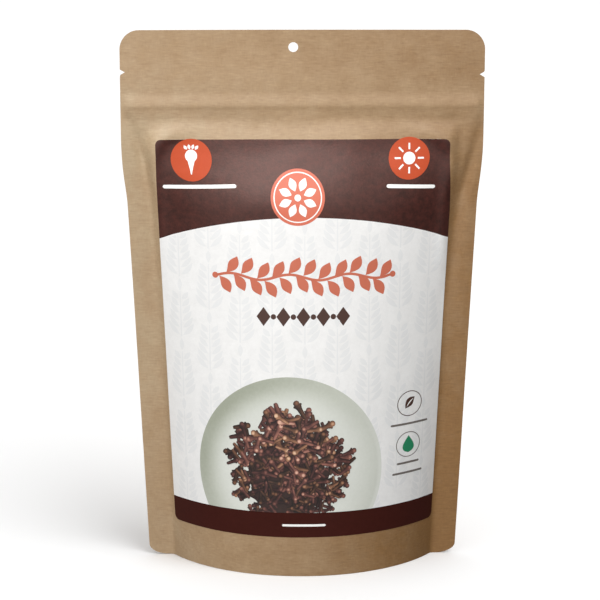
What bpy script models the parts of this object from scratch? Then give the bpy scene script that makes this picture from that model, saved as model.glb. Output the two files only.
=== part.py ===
"""Stand-up pouch of whole cloves: a shut kraft paper pouch with a gusset base, a paper label and two
round stickers. Units are metres, +Z is up, the pouch stands on z = 0 and its label looks along -Y.

A flat sheet of paper bends but doesn't stretch. Each wall is described by s, the distance across the
sheet from its middle, and z, the height, and wall() gives the place where that point stands.
"""

import math

import bmesh
import bpy
import numpy as np

# Pouch
HALF_WIDTH = 0.070
SIDE_SEAL = 0.008
INNER = HALF_WIDTH - SIDE_SEAL
HEIGHT = 0.211
THICKNESS = 0.0008
TOP_CORNER = 0.0075
FOOT_CORNER = 0.004

# Bulge of the filled walls, from the floor up to the zip. SHOULDER and CREASE are shares: of the
# bulge's height where it swells out below the zip, and of the half width where it bends at the seal.
HALF_DEPTH = 0.027
BULGE_TOP = 0.180
BULGE_POWER = 0.42
SHOULDER = 0.207
TURN_POWER = 1.05
CREASE = 0.05
MOST_TURN = 1.7

# Zip ridge, tear notches and hang hole
ZIP_Z = 0.1812
ZIP_REACH = 0.0048
ZIP_HEIGHT = 0.0009
NOTCH_DEPTH = 0.0019
NOTCH_HEIGHT = 0.0022
NOTCH_OVERRUN = 0.004
NOTCH_Z = {"left": 0.1948, "right": 0.1938}
HOLE_RADIUS = 0.0019
HOLE_PLACE = (-0.0035, 0.2043)
CUT_LENGTH = 0.02

# Gusset under the pouch: flat on the floor in the middle, rising to the side seals. The rim is the
# standing edge round it. GUSSET_SEAL is the share of the rise up to where it is welded to the walls,
# and GUSSET_END the share of the inner half width where it ends.
RIM = 0.0010
FLAT_HALF = 0.024
GUSSET_RISE = 0.028
GUSSET_POWER = 1.8
GUSSET_SEAL = 0.7
GUSSET_END = 0.955

# Label, with its two colour borders, and the round stickers
GAP = 0.0003
PAPER = 0.00035
LABEL_HALF = 0.0575
LABEL_SHIFT = 0.00065
LABEL_TOP = 0.1689
LABEL_BAND = 0.0255
LABEL_BOTTOM = 0.0157
LABEL_CORNER = 0.0022
ARCH_TOP = 0.1408
ARCH_RADIUS = 0.157
STICKER_RADIUS = 0.0080
STICKERS = {"badge_left": (-0.0430, 0.1614), "badge_right": (0.0412, 0.1619)}

KRAFT = "b18f69"
LABEL_WHITE = "f0eeea"
LABEL_BROWN = "4a2622"
STICKER_ORANGE = "dd5c3d"
SHARP_ANGLE = math.radians(40)


def smoothstep(t):
    t = np.clip(t, 0.0, 1.0)
    return t * t * (3 - 2 * t)


def running_sum(values):
    """The integral of each row from its start, by the trapezium rule over a row of length one."""
    steps = (values[:, 1:] + values[:, :-1]) / (2 * (values.shape[1] - 1))
    return np.concatenate([np.zeros((len(values), 1)), np.cumsum(steps, axis=1)], axis=1)


# How far the sheet has turned at each share of its half width: more and more towards the side,
# and back to nothing in the crease at the seal. One row for each full turn, from flat to round.
SHARES = np.linspace(0.0, 1.0, 161)
TURNING = SHARES**TURN_POWER * (1 - smoothstep((SHARES - 1 + CREASE) / CREASE))
TURNS = np.linspace(0.0, MOST_TURN, 120)[:, None] * TURNING
ACROSS = running_sum(np.cos(TURNS))
INWARD = running_sum(np.sin(TURNS))


def sample(table, row, column):
    """The table's value between its rows and columns, blended from the four round it."""
    r = np.clip(row.astype(int), 0, table.shape[0] - 2)
    c = np.clip(column.astype(int), 0, table.shape[1] - 2)
    fr, fc = row - r, column - c
    low = (1 - fc) * table[r, c] + fc * table[r, c + 1]
    high = (1 - fc) * table[r + 1, c] + fc * table[r + 1, c + 1]
    return (1 - fr) * low + fr * high


def half_depth(z):
    """Half the pouch's depth at its middle: a power of the drop from the zip, with a soft start."""
    drop = np.clip((BULGE_TOP - z) / BULGE_TOP, 0.0, 1.0)
    return HALF_DEPTH * drop**BULGE_POWER * smoothstep(drop / SHOULDER)


def zip_ridge(s, z):
    """The zip between the walls lifts them in a low ridge, pressed flat in the side seals."""
    ridge = smoothstep(1 - np.abs(z - ZIP_Z) / ZIP_REACH)
    return ZIP_HEIGHT * ridge * smoothstep((HALF_WIDTH - np.abs(s)) / SIDE_SEAL)


def wall(s, z):
    """(x, depth) of the outer face at s across the sheet and z up it, depth being its |y|."""
    s, z = np.broadcast_arrays(np.asarray(s, float), np.asarray(z, float))
    row = np.interp(half_depth(z) / INNER, INWARD[:, -1], np.arange(len(INWARD)))
    column = np.clip(np.abs(s) / INNER, 0.0, 1.0) * (len(SHARES) - 1)
    x = INNER * sample(ACROSS, row, column) + np.maximum(np.abs(s) - INNER, 0.0)
    depth = half_depth(z) - INNER * sample(INWARD, row, column)
    depth = np.where(np.abs(s) < INNER, np.maximum(depth, 0.0), 0.0)
    return np.sign(s) * x, depth + THICKNESS / 2 + zip_ridge(s, z)


def front(s, z, lift=0.0):
    """Points of the front wall's outer face, lifted off it along its normal."""
    step = 0.0002

    def place(s, z):
        x, depth = wall(s, z)
        return np.stack([x, -depth, np.broadcast_to(z, x.shape)], axis=-1)

    along = place(s + step, z) - place(s - step, z)
    up = place(s, z + step) - place(s, z - step)
    normal = np.cross(along, up)
    normal /= np.linalg.norm(normal, axis=-1, keepdims=True)
    return place(s, z) + lift * normal


def edge_of_sheet(z):
    """Half the sheet's width at this height, with its corners rounded at the top and the foot."""
    above = np.clip(z - (HEIGHT - TOP_CORNER), 0.0, TOP_CORNER)
    below = np.clip(FOOT_CORNER - z, 0.0, FOOT_CORNER)
    top_cut = TOP_CORNER - np.sqrt(TOP_CORNER**2 - above**2)
    foot_cut = FOOT_CORNER - np.sqrt(FOOT_CORNER**2 - below**2)
    return HALF_WIDTH - top_cut - foot_cut


def columns():
    """Signed distances across the sheet, without its edge: even steps, closer by the crease."""
    half = np.concatenate([np.linspace(0.0, 0.9, 12), [0.95, 0.98, 1.0]]) * INNER
    return np.concatenate([-half[:0:-1], half])


def heights():
    """Row heights: arcs at the rounded corners, and closer rows at the shoulder and the zip."""
    arc = np.radians([0, 30, 60, 90])
    foot = FOOT_CORNER * (1 - np.cos(arc))
    body = np.concatenate([np.linspace(0.010, 0.142, 12), np.linspace(0.148, BULGE_TOP - 0.005, 10)])
    ridge = ZIP_Z + ZIP_REACH * np.array([-0.6, -0.2, 0.2, 0.6, 1.0])
    top = HEIGHT - TOP_CORNER + TOP_CORNER * np.sin(np.radians([0, 20, 40, 60, 90]))
    return np.concatenate([foot, body, ridge, top])


def gusset_grid(s):
    """One line of points for each column s, from the front rim over the gusset to the back rim."""
    rise = GUSSET_RISE * np.clip((np.abs(s) - FLAT_HALF) / (s[-1] - FLAT_HALF), 0, 1) ** GUSSET_POWER
    seal = GUSSET_SEAL * rise
    line = []
    for share in (0.0, 1 / 3, 2 / 3, 1.0):
        x, depth = wall(s, seal * share)
        line.append(np.stack([x, RIM - depth, seal * share], axis=-1))
    for across in np.linspace(-1, 1, 7)[1:4]:
        z = seal + (rise - seal) * (1 - across**2)
        x, depth = wall(s, z)
        line.append(np.stack([x, across * (depth - RIM), z], axis=-1))
    grid = np.stack(line, axis=1)
    grid[[0, -1], :, 1] = 0.0
    back = grid[:, -2::-1] * np.array([1.0, -1.0, 1.0])
    return np.concatenate([grid, back], axis=1)


def grid_faces(rows, cols, start=0, wrap=False):
    """Quads between neighbours of a rows by cols grid of vertices; wrap joins the last column."""
    across = cols if wrap else cols - 1
    i, j = np.meshgrid(np.arange(rows - 1), np.arange(across), indexing="ij")
    k = (j + 1) % cols
    quads = [i * cols + j, i * cols + k, (i + 1) * cols + k, (i + 1) * cols + j]
    return (np.stack(quads, axis=-1).reshape(-1, 4) + start).tolist()


def linear(hexa):
    """The linear RGBA colour of an sRGB hex value."""
    values = [int(hexa[i : i + 2], 16) / 255 for i in (0, 2, 4)]
    curve = [v / 12.92 if v <= 0.04045 else ((v + 0.055) / 1.055) ** 2.4 for v in values]
    return (*curve, 1.0)


def material(name, hexa, roughness):
    made = bpy.data.materials.new(name)
    made.use_nodes = True
    shader = made.node_tree.nodes["Principled BSDF"]
    shader.inputs["Base Color"].default_value = linear(hexa)
    shader.inputs["Roughness"].default_value = roughness
    shader.inputs["Metallic"].default_value = 0.0
    made.diffuse_color = linear(hexa)
    return made


def new_object(name, points, faces, collection, materials):
    """A mesh object of these points and faces, with doubles merged and its faces turned outwards."""
    mesh = bpy.data.meshes.new(name)
    mesh.from_pydata(points.tolist(), [], faces)
    cleaned = bmesh.new()
    cleaned.from_mesh(mesh)
    bmesh.ops.remove_doubles(cleaned, verts=cleaned.verts, dist=1e-6)
    bmesh.ops.recalc_face_normals(cleaned, faces=cleaned.faces)
    cleaned.to_mesh(mesh)
    cleaned.free()
    obj = bpy.data.objects.new(name, mesh)
    collection.objects.link(obj)
    for each in materials:
        mesh.materials.append(each)
    mesh.shade_smooth()
    mesh.set_sharp_from_angle(angle=SHARP_ANGLE)
    return obj


def cutter(name, collection, sides, radius, place, scale=(1, 1, 1), turn=0.0):
    """A prism through both walls along Y, kept out of the render."""
    bpy.ops.mesh.primitive_cylinder_add(vertices=sides, radius=radius, depth=CUT_LENGTH)
    obj = bpy.context.object
    obj.name = name
    obj.scale = scale
    obj.rotation_euler = (math.pi / 2, turn, 0)
    obj.location = (place[0], 0.0, place[1])
    bpy.ops.object.transform_apply(location=False, rotation=True, scale=True)
    for other in obj.users_collection:
        other.objects.unlink(obj)
    collection.objects.link(obj)
    obj.hide_render = True
    obj.display_type = "WIRE"
    return obj


def wall_rings(s, z):
    """One closed ring of points for each height: the front face left to right, the back one back."""
    rings = []
    for height in z:
        edge = edge_of_sheet(height)
        across = np.concatenate([[-edge], s, [edge]])
        x, depth = wall(across, height)
        face = np.stack([x, -depth, np.full(len(x), height)], axis=-1)
        rings.append(np.concatenate([face, face[::-1] * np.array([1.0, -1.0, 1.0])]))
    return np.stack(rings)


def strip_faces(start, around, columns_used):
    """Quads that join the front and back points of one ring at these columns."""
    return [[start + j, start + j + 1, start + around - 2 - j, start + around - 1 - j]
            for j in columns_used]


def base_faces(around, first, end, start, path):
    """Faces between the foot ring and the gusset grid, which lies under its columns first to end."""
    across = around // 2
    faces = strip_faces(0, around, [*range(first - 1), *range(end + 1, across - 1)])
    for j in range(first, end):
        here = start + (j - first) * path
        faces.append([j, j + 1, here + path, here])
        faces.append([around - 1 - j, around - 2 - j, here + 2 * path - 1, here + path - 1])
    far = start + (end - first) * path
    faces.append([first - 1, first, start, around - 1 - first, around - first])
    faces.append([end, end + 1, around - 2 - end, around - 1 - end, far])
    return faces


def make_pouch(collection, cutters):
    """Rings from the floor to the top edge, closed by the gusset below and a thin strip above."""
    s, z = columns(), heights()
    outer = wall_rings(s, z)
    rows, around = outer.shape[:2]
    under = np.flatnonzero(np.abs(s) <= GUSSET_END * INNER)
    gusset = gusset_grid(s[under])
    path = gusset.shape[1]
    start = rows * around

    faces = grid_faces(rows, around, wrap=True)
    faces += strip_faces(start - around, around, range(around // 2 - 1))
    faces += grid_faces(len(under), path, start)
    faces += base_faces(around, under[0] + 1, under[-1] + 1, start, path)
    points = np.concatenate([outer.reshape(-1, 3), gusset.reshape(-1, 3)])
    pouch = new_object("pouch", points, faces, collection, [material("kraft_paper", KRAFT, 0.8)])

    for side, sign in (("left", -1), ("right", 1)):
        notch = make_notch(f"notch_{side}", sign, NOTCH_Z[side], cutters)
        pouch.modifiers.new(notch.name, "BOOLEAN").object = notch
    hole = cutter("hang_hole", cutters, 32, HOLE_RADIUS, HOLE_PLACE)
    pouch.modifiers.new(hole.name, "BOOLEAN").object = hole
    return pouch


def make_notch(name, sign, height, collection):
    """A three-sided prism whose tip reaches in from the pouch's edge, on the side that sign gives."""
    length = NOTCH_DEPTH + NOTCH_OVERRUN
    stretch = length / 1.5
    tall = NOTCH_HEIGHT / math.sqrt(3) * length / NOTCH_DEPTH
    centre = sign * (HALF_WIDTH - NOTCH_DEPTH + stretch)
    return cutter(name, collection, 3, 1.0, (centre, height), (tall, stretch, 1), -sign * math.pi / 2)


def arch(s):
    """Height of the brown header's lower border: an arc of a large circle, highest in the middle."""
    return ARCH_TOP - ARCH_RADIUS + np.sqrt(ARCH_RADIUS**2 - s**2)


def label_zone(upper, lower, shares):
    """Rows of (s, z) between two borders, each row's ends drawn in at the rounded corners."""
    rows = []
    for share in shares:
        end = upper(LABEL_HALF) + (lower(LABEL_HALF) - upper(LABEL_HALF)) * share
        to_edge = np.clip(LABEL_CORNER - min(LABEL_TOP - end, end - LABEL_BOTTOM), 0.0, LABEL_CORNER)
        half = LABEL_HALF - LABEL_CORNER + math.sqrt(LABEL_CORNER**2 - to_edge**2)
        s = np.linspace(-half, half, 25)
        rows.append(np.stack([s + LABEL_SHIFT, upper(s) + (lower(s) - upper(s)) * share], axis=-1))
    return rows


def skin(name, grid, lift, collection, materials, wrap=False):
    """A thin paper piece on the front wall: an open grid of (s, z) with its thickness outwards."""
    points = front(grid[..., 0], grid[..., 1], lift)
    faces = grid_faces(*grid.shape[:2], wrap=wrap)
    obj = new_object(name, points.reshape(-1, 3), faces, collection, materials)
    if obj.data.polygons[0].normal.y > 0:
        obj.data.flip_normals()
    solid = obj.modifiers.new("paper", "SOLIDIFY")
    solid.thickness = PAPER
    solid.offset = 1.0
    return obj


def make_label(collection):
    def level(z):
        return lambda s: z + 0.0 * s

    corner = [0.0, 0.008, 0.03, 0.06]
    header = label_zone(level(LABEL_TOP), arch, corner + list(np.linspace(0.14, 0.88, 8)))
    body = label_zone(arch, level(LABEL_BAND), np.linspace(0.0, 0.9, 10))
    band = label_zone(level(LABEL_BAND), level(LABEL_BOTTOM), [0.0, 0.4, 0.8, 0.93, 1.0])
    inks = [material("label_header", LABEL_BROWN, 0.45), material("label_white", LABEL_WHITE, 0.5),
            material("label_band", LABEL_BROWN, 0.5)]
    grid = np.stack(header + body + band)
    label = skin("label", grid, GAP, collection, inks)
    across = grid.shape[1] - 1
    for polygon in label.data.polygons:
        row = polygon.index // across
        polygon.material_index = int(row >= len(header)) + int(row >= len(header) + len(body))
    return label


def make_sticker(name, centre, collection):
    """A disc of rings round its centre, on the label; its middle ring closes to a point."""
    radius = STICKER_RADIUS * np.array([0.0, 0.4, 0.75, 1.0])[:, None]
    angle = np.linspace(0.0, 2 * math.pi, 32, endpoint=False)[None, :]
    grid = np.stack([centre[0] + radius * np.cos(angle), centre[1] + radius * np.sin(angle)], axis=-1)
    ink = material(name + "_orange", STICKER_ORANGE, 0.45)
    return skin(name, grid, 2 * GAP + PAPER, collection, [ink], wrap=True)


def main():
    for old in list(bpy.data.objects):
        bpy.data.objects.remove(old, do_unlink=True)
    parts = bpy.data.collections.new("clove_pouch")
    cutters = bpy.data.collections.new("cutters")
    for each in (parts, cutters):
        bpy.context.scene.collection.children.link(each)
    make_pouch(parts, cutters)
    make_label(parts)
    for name, centre in STICKERS.items():
        make_sticker(name, centre, parts)


main()
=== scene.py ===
# %% [markdown]
# # A stand-up kraft pouch of whole cloves
#
# The object is a shut paper pouch that stands on its folded base. Two paper walls are welded
# together down the sides and along the top, a zip runs across below the top edge, and the
# cloves inside push the walls apart. A printed label is stuck on the front. The solids of the
# pouch, the label and its two round stickers are loaded first and stay as they are: the fine
# surfaces below are built around them, in metres, in the same place.

import math

import bmesh
import bpy
import numpy as np
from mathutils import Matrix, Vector


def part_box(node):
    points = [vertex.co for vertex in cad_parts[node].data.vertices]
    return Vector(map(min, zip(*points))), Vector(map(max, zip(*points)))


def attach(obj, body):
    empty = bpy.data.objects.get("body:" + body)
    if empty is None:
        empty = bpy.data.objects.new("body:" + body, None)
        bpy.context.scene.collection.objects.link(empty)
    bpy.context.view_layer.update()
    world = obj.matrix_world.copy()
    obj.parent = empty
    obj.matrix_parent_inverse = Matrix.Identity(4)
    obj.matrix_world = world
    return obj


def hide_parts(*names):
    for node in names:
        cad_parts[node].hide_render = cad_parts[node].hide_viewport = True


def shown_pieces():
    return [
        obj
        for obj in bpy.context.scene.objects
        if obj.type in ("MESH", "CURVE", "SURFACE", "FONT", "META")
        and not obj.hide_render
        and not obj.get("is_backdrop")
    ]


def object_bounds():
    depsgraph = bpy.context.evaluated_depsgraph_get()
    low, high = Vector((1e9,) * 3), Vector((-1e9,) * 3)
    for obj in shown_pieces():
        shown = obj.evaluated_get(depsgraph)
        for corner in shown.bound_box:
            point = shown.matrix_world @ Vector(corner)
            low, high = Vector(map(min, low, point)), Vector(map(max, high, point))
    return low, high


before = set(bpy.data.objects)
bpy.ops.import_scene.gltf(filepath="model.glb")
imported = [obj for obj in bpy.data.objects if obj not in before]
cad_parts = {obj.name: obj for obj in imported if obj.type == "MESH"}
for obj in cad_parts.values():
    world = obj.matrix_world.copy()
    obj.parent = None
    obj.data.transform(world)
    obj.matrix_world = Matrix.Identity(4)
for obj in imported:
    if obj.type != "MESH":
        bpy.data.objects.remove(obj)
cad_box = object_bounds()
pouch_low, pouch_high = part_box("pouch")
print("pouch", [round(v * 1000, 1) for v in pouch_high - pouch_low], "mm")

# %% [markdown]
# ## Sizes
#
# The pouch's sizes are read from its solid, so that the two can't drift apart. The rest are
# what such a pouch has: side welds of 8 mm, and walls of paper lined with film, drawn 0.45 mm
# thick where two of them are welded. The bulge's numbers say how its depth closes towards the
# zip, and the turn's numbers how the paper curves from the middle to the side welds.

# %% Sizes of the pouch
MM = 0.001
HALF_WIDTH = pouch_high.x
HEIGHT = pouch_high.z
SIDE_SEAL = 8 * MM
INNER = HALF_WIDTH - SIDE_SEAL
SOLID_THICKNESS = 0.8 * MM
THICKNESS = 0.45 * MM
HALF_DEPTH = pouch_high.y - SOLID_THICKNESS / 2 - 0.05 * MM

BULGE_TOP = 180 * MM
BULGE_POWER = 0.42
SHOULDER = 0.207
TURN_POWER = 1.05
CREASE = 0.05
MOST_TURN = 1.7

TOP_CORNER = 7.5 * MM
FOOT_CORNER_TALL = 4 * MM
FOOT_CORNER_WIDE = 8 * MM
NOTCH_DEPTH = 1.9 * MM
NOTCH_HEIGHT = 2.2 * MM
NOTCH_LEFT_Z = 194.8 * MM
NOTCH_RIGHT_Z = 193.8 * MM
HOLE_RADIUS = 1.9 * MM
HOLE_PLACE = (-3.5 * MM, 204.3 * MM)
ZIP_START = 187.2 * MM

# %% [markdown]
# ## Small helpers
#
# Colours are written as sRGB hex values, as a colour picker shows them, and one function turns
# them to the linear values that Blender's shaders take. Uneven paper needs a smooth random
# field: random numbers on a square lattice, blended between the lattice's corners. The seed
# makes it the same each time.

# %% Helpers for numbers and colours
def smoothstep(t):
    """0 below 0, 1 above 1, and the cubic 3t^2 - 2t^3 between."""
    t = np.clip(t, 0.0, 1.0)
    return t * t * (3 - 2 * t)


def rise(value, start, end):
    """0 where a length in metres is start millimetres, 1 where it is end, smoothstep between."""
    return smoothstep((value / MM - start) / (end - start))


def colour(hexa):
    """Linear RGBA from an sRGB hex value."""
    values = [int(hexa[i : i + 2], 16) / 255 for i in (0, 2, 4)]
    curve = [v / 12.92 if v <= 0.04045 else ((v + 0.055) / 1.055) ** 2.4 for v in values]
    return (*curve, 1.0)


def field(u, v, seed):
    """Smooth noise from -1 to 1: a random value at each whole (u, v), blended by smoothstep."""
    lattice = np.random.default_rng(seed).uniform(-1, 1, (64, 64))
    i, j = np.floor(u).astype(int), np.floor(v).astype(int)
    a, b = smoothstep(u - i), smoothstep(v - j)
    corner = [[lattice[(i + p) % 64, (j + q) % 64] for q in (0, 1)] for p in (0, 1)]
    low = corner[0][0] * (1 - b) + corner[0][1] * b
    high = corner[1][0] * (1 - b) + corner[1][1] * b
    return low * (1 - a) + high * a


def lumps(s, z, size, seed):
    """Two fields of this lump size, the second one turned and finer, so no lattice shows."""
    u, v = s / size, z / size
    finer = field(1.3 * u + 0.9 * v + 31, 1.3 * v - 0.9 * u + 43, seed + 1)
    return 0.65 * field(u + 11, v + 7, seed) + 0.35 * finer


# %% [markdown]
# ## The bent sheet
#
# Paper bends but doesn't stretch. So a point on a wall is named by where it lies on the flat
# pouch, s across and z up, and one function finds where that point stands. Across the pouch
# the sheet turns a little more with each step towards the side, and turns back in a crease at
# the weld. Adding up the cosine of that turn gives how far across a point has come, and adding
# up the sine how far back. The depth at the middle follows from what fills the pouch: nearly
# steady over the lower part, then closing quickly in a shoulder below the zip. A simulation
# could blow up two flat sheets instead, but with a formula the label and each print know their
# place on the flat sheet, and bend with it.

# %% The bent sheet, with no wrinkles yet
def running_sum(values):
    """The integral of each row from its start, over a row of length one."""
    steps = (values[:, 1:] + values[:, :-1]) / (2 * (values.shape[1] - 1))
    return np.concatenate([np.zeros((len(values), 1)), np.cumsum(steps, axis=1)], axis=1)


shares = np.linspace(0.0, 1.0, 401)
turning = shares**TURN_POWER * (1 - smoothstep((shares - 1 + CREASE) / CREASE))
turns = np.linspace(0.0, MOST_TURN, 160)[:, None] * turning
ACROSS = running_sum(np.cos(turns))
INWARD = running_sum(np.sin(turns))


def sample(table, row, column):
    """The table's value between its rows and columns, blended from the four round it."""
    r = np.clip(row.astype(int), 0, table.shape[0] - 2)
    c = np.clip(column.astype(int), 0, table.shape[1] - 2)
    fr, fc = row - r, column - c
    low = (1 - fc) * table[r, c] + fc * table[r, c + 1]
    high = (1 - fc) * table[r + 1, c] + fc * table[r + 1, c + 1]
    return (1 - fr) * low + fr * high


def half_depth(z):
    """Half the depth at the middle: a power of the drop below the zip, with a soft start."""
    drop = np.clip((BULGE_TOP - z) / BULGE_TOP, 0.0, 1.0)
    return HALF_DEPTH * drop**BULGE_POWER * smoothstep(drop / SHOULDER)


def bend(s, z):
    """(x, depth) of the smooth sheet at s across and z up, depth counted from the middle plane."""
    row = np.interp(half_depth(z) / INNER, INWARD[:, -1], np.arange(len(INWARD)))
    column = np.clip(np.abs(s) / INNER, 0.0, 1.0) * (len(shares) - 1)
    x = INNER * sample(ACROSS, row, column) + np.maximum(np.abs(s) - INNER, 0.0)
    depth = half_depth(z) - INNER * sample(INWARD, row, column)
    return np.sign(s) * x, np.where(np.abs(s) < INNER, np.maximum(depth, 0.0), 0.0)


print("base depth", round(2 * HALF_DEPTH / MM, 1), "mm, turn at the seal up to",
      round(math.degrees(np.interp(HALF_DEPTH / INNER, INWARD[:, -1], turns[:, 320])), 1), "degrees")

# %% [markdown]
# ## Wrinkles and relief
#
# What makes the pouch look real is what the smooth sheet leaves out. The zip lifts both walls
# in a low ridge, with a groove under it and a ledge below the groove, where the filling starts
# at an uneven height. A flat sheet can't close over a full corner without a fold, so a soft
# raised edge runs round each upper corner of the label, and beside it the welded walls bend
# back in a dent. The cloves press small lumps into the paper. These could be sculpted, or faked
# with a bump in the material. Here each is a height in metres, added to the wall, so that it
# catches the light truly and lifts the label with it.

# %% Wrinkles and relief
def fold(s, z, route, width, height, seed):
    """A ridge or dent along a smooth route through (s, z) points, strongest in its middle.

    Its cross-section is a bell curve of the distance to the route, and it fades at both ends.
    """
    route = np.asarray(route) * MM
    t = np.linspace(0, 1, 60)
    knots = np.linspace(0, 1, len(route))
    path = np.stack([np.interp(t, knots, route[:, 0]), np.interp(t, knots, route[:, 1])])
    kernel = np.hanning(15) / np.hanning(15).sum()
    path = np.stack([np.convolve(np.pad(p, 7, mode="edge"), kernel, mode="valid") for p in path])
    shape = s.shape
    gap = np.hypot(s.reshape(-1, 1) - path[0], z.reshape(-1, 1) - path[1])
    near = gap.argmin(axis=1)
    strength = np.sin(math.pi * np.clip(t[near], 0.02, 0.98)) ** 0.6
    wobble = 1 + 0.3 * field(t[near] * 7, t[near] * 0, seed)
    section = np.exp(-((gap.min(axis=1) / (width * MM)) ** 2))
    return (height * MM * strength * wobble * section).reshape(shape)


def sway(s, z, side):
    """How far the shoulder is shifted up or down here, up to 1.3 mm, so that it isn't a ruled line."""
    window = rise(z, 140, 160) * rise(z, 190, 180)
    return 1.3 * MM * window * field(s / (17 * MM) + 20, 0 * s, 40 + side)


def relief(s, z, side):
    """Height of the wall over the smooth sheet: zip, groove, ledge, and lumps from the filling.

    drop counts millimetres down from the zip's start: its ridge is up by 5.7, the groove lies
    below it, and the ledge begins at 10.2.
    """
    inside = rise(INNER - np.abs(s), 0, 5)
    drop = (ZIP_START - z) / MM
    zip_shape = 0.82 * smoothstep(drop / 5.7) - 0.24 * smoothstep((drop - 5.5) / 1.6)
    zip_shape -= 0.36 * smoothstep((drop - 6.5) / 5)
    zip_shape *= rise(HALF_WIDTH - np.abs(s), 0, 3)
    ledge = smoothstep((drop - 10.2) / 8.5) * rise(z, 95, 155) * inside
    filled = inside * rise(z, 168, 148) * rise(z, 0, 14)
    pressed = filled * MM * (0.32 * lumps(s, z, 26 * MM, 60 + side) + 0.07 * lumps(s, z, 5 * MM, 70 + side))
    shoulder = 0.35 * MM * inside * lumps(s, z * 2.2, 15 * MM, 80 + side)
    shoulder *= rise(z, 150, 160) * rise(z, 182, 176)
    return MM * (zip_shape + ledge) + pressed + shoulder


def corner_folds(s, z, side):
    """The raised edge round each upper corner of the label."""
    total = np.zeros(s.shape)
    for hand in (-1, 1):
        edge = [(hand * 38, 172), (hand * 50, 171.5), (hand * 56.5, 168), (hand * 58.2, 160),
                (hand * 58, 148), (hand * 57.5, 132), (hand * 57, 112)]
        total += fold(s, z, edge, 3.2, 1.4, 94 + hand + side)
    return total


# From the photo, in mm across and up: where each side's welded walls bend back
WELD_DENTS = {-1: [(-69, 179), (-66, 174), (-63, 166), (-61.4, 158), (-60.8, 148), (-60.6, 135), (-61, 112)],
              1: [(69.6, 179), (68.4, 172), (66.4, 163), (64.8, 154), (63.4, 145), (62.5, 132), (62, 112)]}


def drift(s, z):
    """Where nothing fills them both walls wander together, and bend back in the dents."""
    header = 0.7 * MM * rise(z, 186, 206) * np.cos(s / HALF_WIDTH * 1.9 + 0.5)
    seal = 0.35 * MM * rise(np.abs(s) - INNER, -2, 4) * rise(z, 30, 60)
    seal = seal * field(z / (21 * MM) + 3, np.sign(s) * 2 + 5, 51)
    s, z = np.broadcast_arrays(s, z)
    dents = [fold(s, z, route, 2.2, 1.15, 70 + hand) for hand, route in WELD_DENTS.items()]
    return header + seal + dents[0] + dents[1]


def place(s, z, side):
    """Where the outer face of the front (side -1) or back (side 1) wall stands."""
    x, depth = bend(s, z + sway(s, z, side))
    depth = np.maximum(depth + relief(s, z, side) + corner_folds(s, z, side), 0.0)
    y = side * (depth + THICKNESS / 2) + drift(s, z)
    return np.stack([x, y, z], axis=-1)


def stand(s, z, side=-1, lift=0.0):
    """place(), lifted off the wall along its normal, found from two small steps each way."""
    s, z = np.broadcast_arrays(np.asarray(s, float), np.asarray(z, float))
    here = place(s, z, side)
    step = 0.25 * MM
    along = place(s + step, z, side) - place(s - step, z, side)
    up = place(s, z + step, side) - place(s, z - step, side)
    normal = np.cross(along, up) * -side
    normal /= np.linalg.norm(normal, axis=-1, keepdims=True)
    return here + np.asarray(lift)[..., None] * normal


along_zip = np.linspace(-INNER, INNER, 50)
print("shoulder sways by", round(float(np.ptp(sway(along_zip, 0 * along_zip + 170 * MM, -1))) / MM, 2), "mm")

# %% [markdown]
# ## Meshes from arrays
#
# Every piece is a grid of points, so one helper gives the corner numbers of the quads between
# neighbours. A thin thing, such as the pouch or the label, could be one sheet thickened by a
# Solidify modifier, but the two walls of a pouch stand apart in one place and are welded in
# another. So it is a stack of closed rings: each ring runs along the outer face from left to
# right and back along the inner face. Strips close the first and the last ring, which makes one
# body with its faces turned outwards.

# %% Quads, closed rings and new pieces
SAME_POINT = 1e-7


def quads(rows, cols, wrap=False, start=0):
    """Corners of the quads between neighbours of a rows by cols grid; wrap closes each row."""
    i, j = np.meshgrid(np.arange(rows - 1), np.arange(cols if wrap else cols - 1), indexing="ij")
    k = (j + 1) % cols
    corners = [i * cols + j, i * cols + k, (i + 1) * cols + k, (i + 1) * cols + j]
    return np.stack(corners, axis=-1).reshape(-1, 4) + start


def strip(start, around, columns):
    """Quads that join the outer and inner points of the ring that starts at this point."""
    j = np.asarray(columns)
    return np.stack([start + j, start + j + 1, start + around - 2 - j, start + around - 1 - j], axis=-1)


def both_sides(outer, inner):
    """The points of all rings: along a row of the outer grid, and back along the inner one."""
    return np.concatenate([outer, inner[:, ::-1]], axis=1).reshape(-1, outer.shape[-1])


def closed_stack(outer, inner):
    """Points and quads of a thin body from two grids of the same shape, rows running upwards."""
    rows, cols = outer.shape[:2]
    last = (rows - 1) * 2 * cols
    ends = [strip(0, 2 * cols, np.arange(cols - 1))[:, ::-1], strip(last, 2 * cols, np.arange(cols - 1))]
    return both_sides(outer, inner), np.concatenate([quads(rows, 2 * cols, wrap=True), *ends])


def add_object(name, data):
    """A new object in the scene."""
    made = bpy.data.objects.new(name, data)
    bpy.context.scene.collection.objects.link(made)
    return made


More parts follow.
